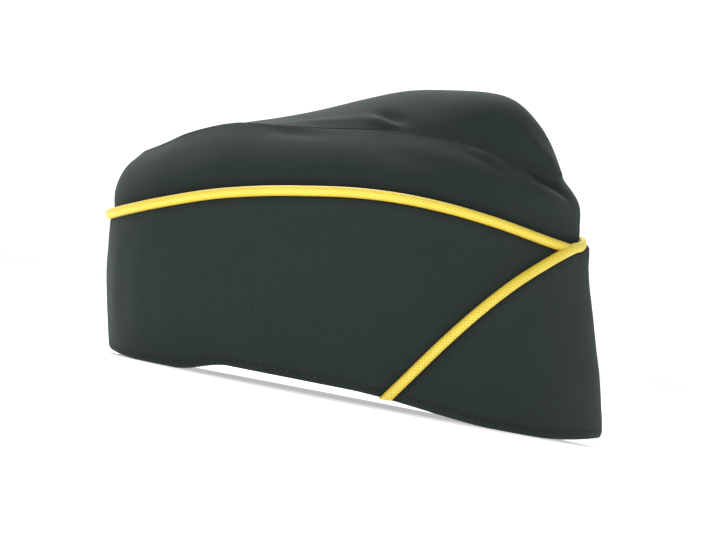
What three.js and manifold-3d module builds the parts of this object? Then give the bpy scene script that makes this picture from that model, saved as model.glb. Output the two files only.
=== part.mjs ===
// A garrison cap of wool gabardine, standing on its rim as it does when it is taken off.
//
// It is sewn from two crown sides, a leaf-shaped crown top let in between them, and a curtain:
// the cuff round the outside, in a right and a left half. The left half wraps round the front
// and lies over the right half, and its cut edge runs back and down to the rim. A round cord
// is sewn along the top edge of both halves and down that slanting edge.
//
// Millimetres. +X is the front, +Y the wearer's left, +Z up. The origin is at the centre of
// the cap's footprint, on the surface that it stands on.
//
// Both crown sides follow one surface. Its u runs from the back seam (0) to the front
// seam (1), and its v from the rim (0) by the curtain's top edge (1) to the top ridge (2).
import * as THREE from "three";
import { mergeVertices } from "three/addons/utils/BufferGeometryUtils.js";
import Manifold from "manifold-3d";

const kernel = await Manifold();
kernel.setup();

const CROWN_WALL = 1.5;
const CURTAIN_WALL = 1.5; // the cloth folded double
const GAP = 0.3; // between one piece and the next
const CORD_RADIUS = 2.35;
const CORD_SIDES = 8;
const MITRE = Math.PI / 4; // slope of the seam faces along the ridge, from upright
const CREST_POWER = 2.2; // how square the top's cross-section is

// Widths and ends of the crown sides at each level: the x of the back and front seams, the
// half width, and how pointed the plan is at the back and front (1 is as round as an ellipse).
const LEVELS = [
  { v: 0.0, back: -104.6, front: 115.8, half: 72.0, backPoint: 1.0, frontPoint: 1.35 },
  { v: 0.25, back: -108.2, front: 111.2, half: 71.2, backPoint: 1.0, frontPoint: 1.39 },
  { v: 0.5, back: -111.5, front: 105.2, half: 70.0, backPoint: 1.0, frontPoint: 1.42 },
  { v: 1.0, back: -115.3, front: 93.7, half: 64.5, backPoint: 1.05, frontPoint: 1.5 },
  { v: 1.35, back: -117.2, front: 91.6, half: 59.5, backPoint: 1.15, frontPoint: 1.48 },
  { v: 1.7, back: -114.6, front: 88.8, half: 50.5, backPoint: 1.35, frontPoint: 1.35 },
  { v: 2.0, back: -107.6, front: 79.5, half: 38.0, backPoint: 1.6, frontPoint: 1.2 },
];

// Heights along the length: the cord on the right and left halves of the curtain, the ridge
// where the top is let in, and the middle line of the top.
const STATIONS = [
  { u: 0.0, cordRight: 61.7, cordLeft: 61.7, ridge: 92.3, crest: 92.3 },
  { u: 0.05, cordRight: 66.3, cordLeft: 66.3, ridge: 98.2, crest: 96.2 },
  { u: 0.1, cordRight: 70.6, cordLeft: 70.6, ridge: 104.5, crest: 101.0 },
  { u: 0.2, cordRight: 78.3, cordLeft: 78.3, ridge: 112.2, crest: 111.2 },
  { u: 0.3, cordRight: 83.9, cordLeft: 83.9, ridge: 114.7, crest: 118.2 },
  { u: 0.4, cordRight: 88.0, cordLeft: 88.0, ridge: 117.0, crest: 125.9 },
  { u: 0.5, cordRight: 91.2, cordLeft: 91.2, ridge: 120.0, crest: 134.2 },
  { u: 0.6, cordRight: 92.6, cordLeft: 92.8, ridge: 122.8, crest: 141.7 },
  { u: 0.7, cordRight: 92.1, cordLeft: 93.3, ridge: 123.8, crest: 145.9 },
  { u: 0.8, cordRight: 90.1, cordLeft: 93.2, ridge: 121.6, crest: 147.8 },
  { u: 0.86, cordRight: 88.2, cordLeft: 92.5, ridge: 119.9, crest: 145.6 },
  { u: 0.92, cordRight: 86.1, cordLeft: 91.5, ridge: 118.3, crest: 137.7 },
  { u: 0.96, cordRight: 84.9, cordLeft: 90.4, ridge: 117.3, crest: 129.1 },
  { u: 1.0, cordRight: 83.8, cordLeft: 89.2, ridge: 116.2, crest: 116.9 },
];

// The rim lies flat on two stretches, and the cloth lifts a little off the surface at the
// back seam, along the middle and at the front corner.
const RIM = {
  backLift: 1.9,
  backEnd: 0.06,
  middleLift: 5.4,
  riseStart: 0.13,
  riseEnd: 0.24,
  fallStart: 0.48,
  fallEnd: 0.82,
  frontLift: 4.4,
  frontStart: 0.86,
};

// Where the slanting edge's cord runs over the right side, seen from that side.
const SLANT = [
  { x: 95.4, z: 89.8 },
  { x: 81.5, z: 78.9 },
  { x: 67.2, z: 65.9 },
  { x: 53.7, z: 50.8 },
  { x: 40.5, z: 33.8 },
  { x: 27.6, z: 15.5 },
  { x: 19.7, z: 4.2 },
];

// Dents and rolls of the crown sides, each along a line seen from the side. A push below 0
// goes in, and reach is how far it spreads to each side of its line.
const SIDE_FOLDS = [
  { side: "right", x0: 60.0, z0: 118.6, x1: 83.0, z1: 108.6, push: -3.4, reach: 2.6 },
  { side: "right", x0: 66.0, z0: 108.4, x1: 82.5, z1: 104.6, push: 1.5, reach: 3.0 },
  { side: "right", x0: 33.0, z0: 121.6, x1: 50.0, z1: 116.6, push: 1.3, reach: 3.0 },
  { side: "right", x0: -6.0, z0: 112.5, x1: 30.0, z1: 111.0, push: -1.2, reach: 6.0 },
  { side: "right", x0: -92.0, z0: 84.0, x1: -70.0, z1: 97.0, push: 1.0, reach: 6.0 },
  { side: "left", x0: 52.0, z0: 117.0, x1: 80.0, z1: 107.0, push: -2.4, reach: 3.2 },
  { side: "left", x0: 14.0, z0: 110.0, x1: 44.0, z1: 106.0, push: -1.3, reach: 6.0 },
  { side: "left", x0: -88.0, z0: 88.0, x1: -62.0, z1: 98.0, push: 1.0, reach: 6.0 },
];

// Dents and rolls of the top, each along a line seen from above. A push below 0 goes down.
const TOP_FOLDS = [
  { x0: -9.0, y0: -26.5, x1: 7.0, y1: -33.5, push: -1.6, reach: 2.6 },
  { x0: -13.0, y0: -31.0, x1: 2.0, y1: -35.8, push: 0.9, reach: 3.0 },
  { x0: 30.0, y0: -30.0, x1: 52.0, y1: -20.0, push: -1.3, reach: 4.0 },
  { x0: -16.0, y0: 20.0, x1: 8.0, y1: 32.0, push: -1.8, reach: 3.6 },
  { x0: 34.0, y0: 28.0, x1: 58.0, y1: 18.0, push: -1.4, reach: 4.0 },
];

const SIDES = { right: -1, left: 1 };
const CLOTH = { color: 0x343a37, roughness: 0.92, metalness: 0 };
const CURTAIN_CLOTH = { color: 0x303633, roughness: 0.92, metalness: 0 };
const CORD = { color: 0xf3da3f, roughness: 0.6, metalness: 0 };

const mix = THREE.MathUtils.lerp;
const clamp = THREE.MathUtils.clamp;
const smooth = (value, from, to) => THREE.MathUtils.smoothstep(value, from, to);

// A smooth curve through one column of a table: cubic pieces whose slopes come from the rows
// on each side.
function along(rows, key, column, at) {
  const last = rows.length - 1;
  let i = 0;
  while (i < last - 1 && at > rows[i + 1][key]) i += 1;
  const slope = (k) => {
    const a = rows[Math.max(k - 1, 0)];
    const b = rows[Math.min(k + 1, last)];
    return (b[column] - a[column]) / (b[key] - a[key]);
  };
  const step = rows[i + 1][key] - rows[i][key];
  const s = clamp((at - rows[i][key]) / step, 0, 1);
  const rise = s * s * (3 - 2 * s);
  const bow = s * (1 - s) * step * ((1 - s) * slope(i) - s * slope(i + 1));
  return mix(rows[i][column], rows[i + 1][column], rise) + bow;
}

const level = (column, v) => along(LEVELS, "v", column, v);
const station = (column, u) => along(STATIONS, "u", column, u);

function rimHeight(u) {
  const back = clamp((RIM.backEnd - u) / RIM.backEnd, 0, 1);
  const front = clamp((u - RIM.frontStart) / (1 - RIM.frontStart), 0, 1);
  const rise = smooth(u, RIM.riseStart, RIM.riseEnd);
  const fall = smooth(u, RIM.fallStart, RIM.fallEnd);
  return RIM.backLift * back ** 2 + RIM.middleLift * rise * (1 - fall) + RIM.frontLift * front ** 2;
}

// The plan's half width as a share of its widest: a pointed oval, widest a little behind
// its middle.
function oval(u, backPoint, frontPoint) {
  const q = clamp(u, 0, 1) ** 0.92;
  const point = mix(backPoint, frontPoint, smooth(u, 0.15, 0.85));
  return (2 * Math.sqrt(Math.max(q * (1 - q), 0))) ** point;
}

function heightOf(u, v) {
  const cord = station("cordRight", u);
  return v <= 1 ? mix(rimHeight(u), cord, v) : mix(cord, station("ridge", u), v - 1);
}

// The v at which the surface reaches a height.
function levelAt(u, z) {
  const rim = rimHeight(u);
  const cord = station("cordRight", u);
  return z <= cord ? (z - rim) / (cord - rim) : 1 + (z - cord) / (station("ridge", u) - cord);
}

// How far a table of folds pushes the cloth at a point (a, b), where a0, b0, a1 and b1 name
// the columns that hold the ends of each line.
function pushOf(folds, a, b, a0, b0, a1, b1) {
  let total = 0;
  for (const fold of folds) {
    const da = fold[a1] - fold[a0];
    const db = fold[b1] - fold[b0];
    const t = clamp(((a - fold[a0]) * da + (b - fold[b0]) * db) / (da * da + db * db), 0, 1);
    const away = Math.hypot(a - fold[a0] - t * da, b - fold[b0] - t * db) / fold.reach;
    total += fold.push * Math.exp(-away * away) * (0.35 + 0.65 * Math.sin(Math.PI * t));
  }
  return total;
}

// A crown side's outer surface, with its dents. They die away at the seams.
function sidePoint(side, u, v) {
  const x = mix(level("back", v), level("front", v), clamp(u, 0, 1));
  const width = level("half", v) * oval(u, level("backPoint", v), level("frontPoint", v));
  const z = heightOf(u, v);
  const folds = SIDE_FOLDS.filter((fold) => fold.side === side);
  const seam = smooth(width, 0, 12) * smooth(2 - v, 0, 0.12) * smooth(v, 1, 1.2);
  const y = width + seam * pushOf(folds, x, z, "x0", "z0", "x1", "z1");
  return new THREE.Vector3(x, SIDES[side] * y, z);
}

// The outward normal of a crown side. On a seam it lies in the cap's middle plane.
function sideNormal(side, u, v) {
  const du = 0.002;
  const dv = 0.01;
  const u0 = Math.max(u - du, 0);
  const u1 = Math.min(u + du, 1);
  const v0 = Math.max(v - dv, 0);
  const v1 = Math.min(v + dv, 2);
  const alongU = sidePoint(side, u1, v).sub(sidePoint(side, u0, v));
  const alongV = sidePoint(side, u, v1).sub(sidePoint(side, u, v0));
  const normal = alongU.cross(alongV).multiplyScalar(-SIDES[side]);
  if (u <= 0 || u >= 1) normal.y = 0;
  return normal.normalize();
}

// A point lifted off a crown side. The row on the rim keeps the rim's height, so that every
// layer of cloth ends in the same plane.
function lifted(side, u, v, lift) {
  const point = sidePoint(side, u, v).addScaledVector(sideNormal(side, u, v), lift);
  if (v <= 0) point.z = rimHeight(u);
  return point;
}

// Columns stand close together at both ends. All layers of a side share them, and the rows
// behind the curtain too, so that no flat facet cuts into the next layer.
const COLUMNS = 36;
const RIGHT_ROWS = 6;
const LEFT_ROWS = 7;
const ends = (i, count) => (1 - Math.cos((Math.PI * i) / count)) / 2;
const column = (j) => ends(j, COLUMNS);

// The height at which a curtain half's cloth stops, under its cord. The left half's front
// corner is cut lower, where the cord turns down.
const CORNER_DROP = 2.2;
function edgeHeight(side, u) {
  const cord = station(side === "left" ? "cordLeft" : "cordRight", u);
  const drop = side === "left" ? CORNER_DROP * smooth(u, 0.93, 1) : 0;
  return cord - CORD_RADIUS - GAP - drop;
}

const edgeLevel = (side, u) => levelAt(u, edgeHeight(side, u));

// One closed body from the two faces of a sheet, given as grids of the same size.
function shell(outer, inner, turned) {
  const rows = outer.length;
  const columns = outer[0].length;
  const positions = [];
  const triangle = (a, b, c) => {
    const corners = turned ? [a, c, b] : [a, b, c];
    for (const corner of corners) positions.push(corner.x, corner.y, corner.z);
  };
  const quad = (a, b, c, d) => {
    triangle(a, b, c);
    triangle(a, c, d);
  };
  for (let i = 0; i + 1 < rows; i += 1) {
    for (let j = 0; j + 1 < columns; j += 1) {
      quad(outer[i][j], outer[i][j + 1], outer[i + 1][j + 1], outer[i + 1][j]);
      quad(inner[i][j], inner[i + 1][j], inner[i + 1][j + 1], inner[i][j + 1]);
    }
    const end = columns - 1;
    quad(outer[i][0], outer[i + 1][0], inner[i + 1][0], inner[i][0]);
    quad(outer[i][end], inner[i][end], inner[i + 1][end], outer[i + 1][end]);
  }
  for (let j = 0; j + 1 < columns; j += 1) {
    const end = rows - 1;
    quad(outer[0][j], inner[0][j], inner[0][j + 1], outer[0][j + 1]);
    quad(outer[end][j], outer[end][j + 1], inner[end][j + 1], inner[end][j]);
  }
  return new THREE.BufferGeometry().setAttribute(
    "position",
    new THREE.Float32BufferAttribute(positions, 3),
  );
}

function grid(rows, columns, make) {
  const row = (i) => Array.from({ length: columns + 1 }, (_, j) => make(i, j));
  return Array.from({ length: rows + 1 }, (_, i) => row(i));
}

function piece(name, geometry, finish) {
  geometry.computeVertexNormals();
  const mesh = new THREE.Mesh(geometry, new THREE.MeshStandardMaterial(finish));
  mesh.name = name;
  return mesh;
}

// One side of the crown, from the rim inside the curtain to the ridge.
function crownSide(side) {
  const hidden = side === "left" ? LEFT_ROWS : RIGHT_ROWS; // rows behind the curtain
  const rows = hidden + 9;
  const levelOf = (i, u) => {
    const edge = edgeLevel(side, u);
    return i <= hidden ? (edge * i) / hidden : mix(edge, 2, (i - hidden) / (rows - hidden));
  };
  const offCentre = (point, least) => {
    point.y = SIDES[side] * Math.max(SIDES[side] * point.y, least);
    return point;
  };
  const outer = grid(rows, COLUMNS, (i, j) =>
    offCentre(sidePoint(side, column(j), levelOf(i, column(j))), GAP / 2),
  );
  const inner = grid(rows, COLUMNS, (i, j) => {
    const u = column(j);
    if (i < rows) return offCentre(lifted(side, u, levelOf(i, u), -CROWN_WALL), GAP / 2);
    const edge = sidePoint(side, u, 2);
    edge.y -= SIDES[side] * CROWN_WALL * Math.sin(MITRE);
    edge.z -= CROWN_WALL * Math.cos(MITRE);
    return offCentre(edge, GAP / 2);
  });
  return piece(`crown_${side}`, shell(outer, inner, side === "left"), CLOTH);
}

// The leaf-shaped top, which sinks between the ridges at the back and swells at the front.
function crownTop() {
  const columns = COLUMNS - 2; // it stops one column short of the sides at each point
  const across = 8;
  const lengthAt = (j) => column(j + 1);
  const halfAt = (u) => Math.abs(sidePoint("right", u, 2).y) - GAP;
  const surface = (u, s) => {
    const x = mix(level("back", 2), level("front", 2), u);
    const y = s * halfAt(u);
    const ridge = station("ridge", u);
    const rise = (station("crest", u) - ridge) * (1 - Math.abs(s) ** CREST_POWER);
    const fade = smooth(1 - Math.abs(s), 0, 0.15) * smooth(halfAt(u), 0, 12);
    return new THREE.Vector3(x, y, ridge + rise + fade * pushOf(TOP_FOLDS, x, y, "x0", "y0", "x1", "y1"));
  };
  const normal = (u, s) => {
    const step = 0.004;
    const alongU = surface(Math.min(u + step, 1), s).sub(surface(Math.max(u - step, 0), s));
    const alongS = surface(u, Math.min(s + step, 1)).sub(surface(u, Math.max(s - step, -1)));
    return alongU.cross(alongS).normalize();
  };
  const shareAt = (i) => -1 + (2 * i) / across;
  const outer = grid(across, columns, (i, j) => surface(lengthAt(j), shareAt(i)));
  const inner = grid(across, columns, (i, j) => {
    const u = lengthAt(j);
    const s = shareAt(i);
    const point = surface(u, s);
    if (Math.abs(s) < 1) {
      point.addScaledVector(normal(u, s), -CROWN_WALL);
    } else {
      point.y -= s * CROWN_WALL * Math.sin(MITRE);
      point.z -= CROWN_WALL * Math.cos(MITRE);
    }
    const room = Math.abs(s) * Math.max(halfAt(u) - CROWN_WALL * Math.sin(MITRE), 0.08);
    point.y = clamp(point.y, -room, room);
    return point;
  });
  return piece("crown_top", shell(outer, inner, false), CLOTH);
}

// What is left of a closed geometry when a solid is taken out of it.
function cutAway(geometry, waste) {
  geometry.deleteAttribute("normal");
  const welded = mergeVertices(geometry, 1e-4);
  const whole = new kernel.Manifold(
    new kernel.Mesh({
      numProp: 3,
      vertProperties: welded.getAttribute("position").array,
      triVerts: new Uint32Array(welded.index.array),
    }),
  );
  const left = whole.subtract(waste).getMesh();
  const cut = new THREE.BufferGeometry()
    .setAttribute("position", new THREE.BufferAttribute(left.vertProperties, 3))
    .setIndex(new THREE.BufferAttribute(left.triVerts, 1))
    .toNonIndexed();
  cut.computeVertexNormals();
  return cut;
}

// A curtain half's two faces, where place(lift) gives a grid of points.
function curtain(name, side, place) {
  return piece(name, shell(place(GAP + CURTAIN_WALL), place(GAP), side === "left"), CURTAIN_CLOTH);
}

// The right half of the curtain, from the back seam to the last column before the front one.
function curtainRight() {
  const place = (lift) =>
    grid(RIGHT_ROWS, COLUMNS - 1, (i, j) => {
      const u = column(j);
      const point = lifted("right", u, (edgeLevel("right", u) * i) / RIGHT_ROWS, lift);
      if (j === 0) point.y = -GAP / 2;
      return point;
    });
  return curtain("curtain_right", "right", place);
}

// The slanting edge's line at a height, seen from the right.
function slantAt(z) {
  const rows = SLANT.slice().reverse();
  return along(rows, "z", "x", clamp(z, rows[0].z, rows[rows.length - 1].z));
}

// The outline, seen from the right, of the cloth that is cut away behind the slanting cord.
function slantCut() {
  const [bottom, top] = [SLANT[SLANT.length - 1].z, SLANT[0].z];
  const count = 12;
  const edge = Array.from({ length: count + 1 }, (_, k) => {
    const z = mix(bottom, top, k / count);
    const lean = slantAt(z + 0.5) - slantAt(z - 0.5);
    const beside = (CORD_RADIUS + GAP) / Math.hypot(1, lean);
    return [slantAt(z) + beside, z - lean * beside];
  });
  const [foot, head] = [edge[0], edge[count]];
  return [[-200, -20], [foot[0], -20], ...edge, [head[0] + 20, head[1] + 12], [-200, 200]];
}

// How far the left half stands off the crown, to clear the right half's front end. Above the
// right half it lies on the crown again.
const OVERLAP_LIFT = CURTAIN_WALL + GAP;
const climbAt = (u, v) => OVERLAP_LIFT * smooth(u, 0.93, 0.995) * (1 - smooth(v, 1.05, 1.2));

// The left half of the curtain, with its wrap over the front of the right half.
function curtainLeft() {
  const wrapColumns = 19;
  const onLeft = (i, j, lift) => {
    const u = column(j);
    const v = (edgeLevel("left", u) * i) / LEFT_ROWS;
    const point = lifted("left", u, v, lift + climbAt(u, v));
    if (j === 0) point.y = GAP / 2;
    return point;
  };
  const onRight = (i, j, lift) => {
    const u = column(2 * COLUMNS - j);
    const last = edgeLevel("left", 1);
    const v = i <= RIGHT_ROWS ? (edgeLevel("right", u) * i) / RIGHT_ROWS : last;
    return lifted("right", u, v, lift + climbAt(1, v));
  };
  const place = (lift) =>
    grid(LEFT_ROWS, COLUMNS + wrapColumns, (i, j) =>
      j <= COLUMNS ? onLeft(i, j, lift) : onRight(i, j, lift),
    );
  const whole = curtain("curtain_left", "left", place);
  const waste = new kernel.CrossSection([slantCut()]).extrude(200).rotate([90, 0, 0]);
  whole.geometry = cutAway(whole.geometry, waste);
  return whole;
}

function cord(name, points, steps) {
  const ring = Array.from({ length: CORD_SIDES }, (_, k) => {
    const angle = (2 * Math.PI * (k + 0.5)) / CORD_SIDES;
    return new THREE.Vector2(CORD_RADIUS * Math.cos(angle), CORD_RADIUS * Math.sin(angle));
  });
  const path = new THREE.CatmullRomCurve3(points, false, "centripetal");
  const geometry = new THREE.ExtrudeGeometry(new THREE.Shape(ring), {
    steps,
    extrudePath: path,
    bevelEnabled: false,
  });
  return piece(name, geometry, CORD);
}

// The cord along a curtain half's top edge, up to a share of the length.
function edgeCord(side, to, count) {
  const heights = side === "left" ? "cordLeft" : "cordRight";
  const points = Array.from({ length: count + 1 }, (_, k) => {
    const u = to * ends(k, count);
    const v = levelAt(u, station(heights, u));
    return lifted(side, u, v, GAP + CORD_RADIUS + (side === "left" ? climbAt(u, v) : 0));
  });
  points[0].y = SIDES[side] * GAP; // each cord's back end stops short of the other's
  return points;
}

// The point that is seen from the right at x and z, and lies a cord's lift off the crown.
function seenAt(x, z) {
  const aim = { x, z };
  let [u, v] = [0.5, 1];
  let point;
  for (let round = 0; round < 30; round += 1) {
    const span = level("front", v) - level("back", v);
    u = clamp((aim.x - level("back", v)) / span, 0, 1);
    v = clamp(levelAt(u, aim.z), 0, 2);
    point = lifted("right", u, v, GAP + CORD_RADIUS + climbAt(1, v));
    aim.x += 0.5 * (x - point.x);
    aim.z += 0.5 * (z - point.z);
  }
  return point;
}

// The slanting cord, from beside the front seam down to the rim.
function slantCord(count) {
  const [top, bottom] = [86.5, SLANT[SLANT.length - 1].z];
  return Array.from({ length: count + 1 }, (_, k) => {
    const z = mix(top, bottom, k / count);
    return seenAt(slantAt(z), z);
  });
}

const cap = new THREE.Group();
cap.add(crownSide("right"), crownSide("left"), crownTop(), curtainRight(), curtainLeft());
cap.add(cord("cord_right", edgeCord("right", 0.94, 24), 54));
cap.add(cord("cord_left", [...edgeCord("left", 1.0, 26), ...slantCord(14)], 92));

// The wrap stands out on the right, so the middle plane lies a little left of the origin.
cap.position.set(0.15, 1.55, 0);

export default cap;
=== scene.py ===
"""The looks of a garrison cap of dark green-grey gabardine, edged with golden yellow cord.

Each panel of cloth is a closed sheet with rounded edges, laid on the surface that its solid
follows, with the cloth's creases, rolls and puckers. Each cord is a braid worked in relief
along its panel's edge. Sizes are in millimetres until a mesh is made.

The surface has two parameters. The angle t runs round the cap: 0 at the back seam, forward
along the left side, pi at the front seam, and back along the right side to 2 pi. The level v
is 0 at the rim, 1 at the top edge of the right half of the curtain and 2 at the ridge.
"""
import math

import bpy
import numpy as np
from mathutils import Matrix, Vector


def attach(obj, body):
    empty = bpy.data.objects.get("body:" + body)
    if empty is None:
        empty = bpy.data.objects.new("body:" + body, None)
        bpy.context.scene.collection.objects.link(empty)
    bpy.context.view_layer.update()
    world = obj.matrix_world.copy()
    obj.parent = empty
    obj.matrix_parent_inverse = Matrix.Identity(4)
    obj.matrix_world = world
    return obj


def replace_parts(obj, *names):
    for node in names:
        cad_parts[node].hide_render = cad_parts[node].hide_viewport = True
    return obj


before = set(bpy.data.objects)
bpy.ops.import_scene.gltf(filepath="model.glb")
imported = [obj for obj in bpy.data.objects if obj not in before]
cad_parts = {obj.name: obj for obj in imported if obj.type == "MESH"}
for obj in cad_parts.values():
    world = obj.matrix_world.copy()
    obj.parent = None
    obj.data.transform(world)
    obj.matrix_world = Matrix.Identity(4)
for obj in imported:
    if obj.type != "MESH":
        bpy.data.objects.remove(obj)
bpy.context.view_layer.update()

MM = 0.001
CENTRE = np.array([0.15, 1.55, 0.0])  # where the cap's middle plane stands in the frame
CROWN_WALL = 1.5
CURTAIN_WALL = 1.5
GAP = 0.3
CORD_DEPTH = 2.0  # half the cord's thickness, off the cloth
CORD_WIDTH = 2.35  # half its width, along the cloth
OVERLAP_LIFT = CURTAIN_WALL + GAP
CREST_POWER = 2.2
SEAM_LAP = 0.01  # how far past the middle plane each half's edge reaches at a seam
EDGE_ROUND = 0.8  # how far in from its edge a panel reaches its full thickness
BEHIND_CURTAIN = 0.7  # how far the crown's sides stand in where the curtain hides them
SIDE_WAVE = 0.45  # the height of the cloth's slow waves on the crown's sides
TOP_WAVE = 0.5
CURTAIN_WAVE = 0.4
DOME_START = (0.5, 0.7)  # the shares of the length between which the ridge seam turns shallow
CORD_OVER_EDGE = 0.35  # how far a cord reaches down over the edge of the cloth beside it
CORD_SIDES = 48
RING_STEP = 0.24  # from one ring of a cord to the next
BRAID_DEPTH = 0.055  # how much thicker a cord is on a strand than in a groove
BACK_ROUND = 0.3  # how far from a cord's back end it reaches its full thickness
FRONT_ROUND = 1.2  # the same at its front end
CORD_FOOT = 3.9  # the height at which the slanting cord is cut off, beside the rim
FOOT_ROUND = 0.4  # how far above that the cut begins to round the cord
RIGHT_END = 0.974  # the share of the length at which the right cord ends, under the slanting one
UNDER_END = 0.9985  # and at which the right half's cloth ends, under the left half
# painted shade: the braid's colour beside the cloth is darkened to this share
SIDE_SHADE = 0.3  # how bright the braid is beside the cloth, against 1 on its outer line
FRONT_SINK = 1.3  # how much deeper the left cord lies in the cloth at the front seam
FRONT_RISE = 1.8  # how much higher the cloth reaches beside it there
FRONT_ROLL = 1.3  # and how far that cloth rolls out
LEAST_HEIGHT = 0.4  # of a column of the curtain's cloth
SLANT_FOOT = 1.2  # the height above the rim at which the slanting edge's cloth ends
SLANT_PAST = 0.5  # an angle past the front seam that is well on the slanting edge
RIM_CURL = 0.9  # how far the rim turns in
STITCH_GROOVE = 0.2
STITCH_HEIGHT = 2.7  # the rim's stitching, above the rim
STITCH_LENGTH = 2.2
STITCH_PITCH = 3.1
STITCH_RADIUS = 0.22
STITCH_SINK = 0.18  # how deep the stitches lie in their groove
STITCH_SIDES = 8
PI = math.pi

# The crown's ends, half widths and pointedness at each level.
LEVELS = [
    dict(v=0.0, back=-104.6, front=115.8, half=72.0, back_point=1.0, front_point=1.35),
    dict(v=0.25, back=-108.2, front=111.2, half=71.2, back_point=1.0, front_point=1.39),
    dict(v=0.5, back=-111.5, front=105.2, half=70.0, back_point=1.0, front_point=1.42),
    dict(v=1.0, back=-115.3, front=93.7, half=64.5, back_point=1.05, front_point=1.5),
    dict(v=1.35, back=-117.2, front=91.6, half=59.5, back_point=1.15, front_point=1.48),
    dict(v=1.7, back=-114.6, front=88.8, half=50.5, back_point=1.35, front_point=1.35),
    dict(v=2.0, back=-107.6, front=79.5, half=38.0, back_point=1.6, front_point=1.2),
]

# Heights along the length, from the back seam (u = 0) to the front seam (u = 1): the cord on
# the right and left halves of the curtain, the ridge, and the middle line of the top.
STATIONS = [
    dict(u=0.0, cord_right=61.7, cord_left=61.7, ridge=92.3, crest=92.3),
    dict(u=0.05, cord_right=66.3, cord_left=66.3, ridge=98.2, crest=96.2),
    dict(u=0.1, cord_right=70.6, cord_left=70.6, ridge=104.5, crest=101.0),
    dict(u=0.2, cord_right=78.3, cord_left=78.3, ridge=112.2, crest=111.2),
    dict(u=0.3, cord_right=83.9, cord_left=83.9, ridge=114.7, crest=118.2),
    dict(u=0.4, cord_right=88.0, cord_left=88.0, ridge=117.0, crest=125.9),
    dict(u=0.5, cord_right=91.2, cord_left=91.2, ridge=120.0, crest=134.2),
    dict(u=0.6, cord_right=92.6, cord_left=92.8, ridge=122.8, crest=141.7),
    dict(u=0.7, cord_right=92.1, cord_left=93.3, ridge=123.8, crest=145.9),
    dict(u=0.8, cord_right=90.1, cord_left=93.2, ridge=121.6, crest=147.8),
    dict(u=0.86, cord_right=88.2, cord_left=92.5, ridge=119.9, crest=145.6),
    dict(u=0.92, cord_right=86.1, cord_left=91.5, ridge=118.3, crest=137.7),
    dict(u=0.96, cord_right=84.9, cord_left=90.4, ridge=117.3, crest=129.1),
    dict(u=1.0, cord_right=83.8, cord_left=89.2, ridge=116.2, crest=116.9),
]

RIM = dict(
    back_lift=1.9,
    back_end=0.06,
    middle_lift=5.4,
    rise=(0.13, 0.24),
    fall=(0.48, 0.82),
    front_lift=4.4,
    front_start=0.86,
)

# The middle line of the slanting cord, seen from the right.
SLANT = [
    dict(x=95.4, z=89.8),
    dict(x=81.5, z=78.9),
    dict(x=67.2, z=65.9),
    dict(x=53.7, z=50.8),
    dict(x=40.5, z=33.8),
    dict(x=27.6, z=15.5),
    dict(x=19.7, z=4.2),
    dict(x=18.1, z=1.9),
]

# Creases and rolls of the crown's sides, each along a line seen from the side. A push below
# 0 goes in, and reach is how far it spreads to each side of its line.
SIDE_FOLDS = [
    dict(side=-1, start=(60.0, 118.6), end=(83.0, 108.6), push=-3.4, reach=2.6),
    dict(side=-1, start=(66.0, 108.4), end=(82.5, 104.6), push=1.5, reach=3.0),
    dict(side=-1, start=(33.0, 121.6), end=(50.0, 116.6), push=1.3, reach=3.0),
    dict(side=-1, start=(-6.0, 112.5), end=(30.0, 111.0), push=-1.2, reach=6.0),
    dict(side=-1, start=(-92.0, 84.0), end=(-70.0, 97.0), push=1.0, reach=6.0),
    dict(side=1, start=(52.0, 117.0), end=(80.0, 107.0), push=-2.4, reach=3.2),
    dict(side=1, start=(14.0, 110.0), end=(44.0, 106.0), push=-1.3, reach=6.0),
    dict(side=1, start=(-88.0, 88.0), end=(-62.0, 98.0), push=1.0, reach=6.0),
]

# Creases and rolls of the top, each along a line seen from above.
TOP_FOLDS = [
    dict(start=(-9.0, -26.5), end=(7.0, -33.5), push=-1.6, reach=2.6),
    dict(start=(-13.0, -31.0), end=(2.0, -35.8), push=0.9, reach=3.0),
    dict(start=(30.0, -30.0), end=(52.0, -20.0), push=-1.3, reach=4.0),
    dict(start=(-16.0, 20.0), end=(8.0, 32.0), push=-1.8, reach=3.6),
    dict(start=(34.0, 28.0), end=(58.0, 18.0), push=-1.4, reach=4.0),
]

# Finer creases, each along a bent line, pushed along the cloth's normal. Those of the sides
# are seen from the side, and those of the top from above.
SIDE_CREASES = [
    dict(side=-1, line=[(62, 116.6), (69, 113.4), (77, 111.2), (84, 107.0)], push=-1.3, reach=1.3),
    dict(side=-1, line=[(66, 110.6), (75, 107.8), (84, 103.0)], push=0.8, reach=2.4),
    dict(side=-1, line=[(31, 119.8), (42, 117.4), (53, 113.2)], push=-0.8, reach=1.5),
    dict(side=-1, line=[(34, 122.0), (44, 119.4), (52, 116.6)], push=0.7, reach=1.6),
    dict(side=-1, line=[(-54, 111.5), (-42, 112.6), (-27, 114.4)], push=-0.7, reach=1.6),
    dict(side=-1, line=[(62, 101.0), (74, 98.4), (84, 94.6)], push=-0.5, reach=2.2),
    dict(side=1, line=[(50, 119.0), (62, 113.4), (80, 107.4)], push=-1.6, reach=1.7),
    dict(side=1, line=[(58, 109.6), (72, 107.0), (84, 101.8)], push=0.9, reach=2.2),
    dict(side=1, line=[(-30, 108.0), (-14, 112.2), (4, 118.4)], push=-0.7, reach=1.8),
]
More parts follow.
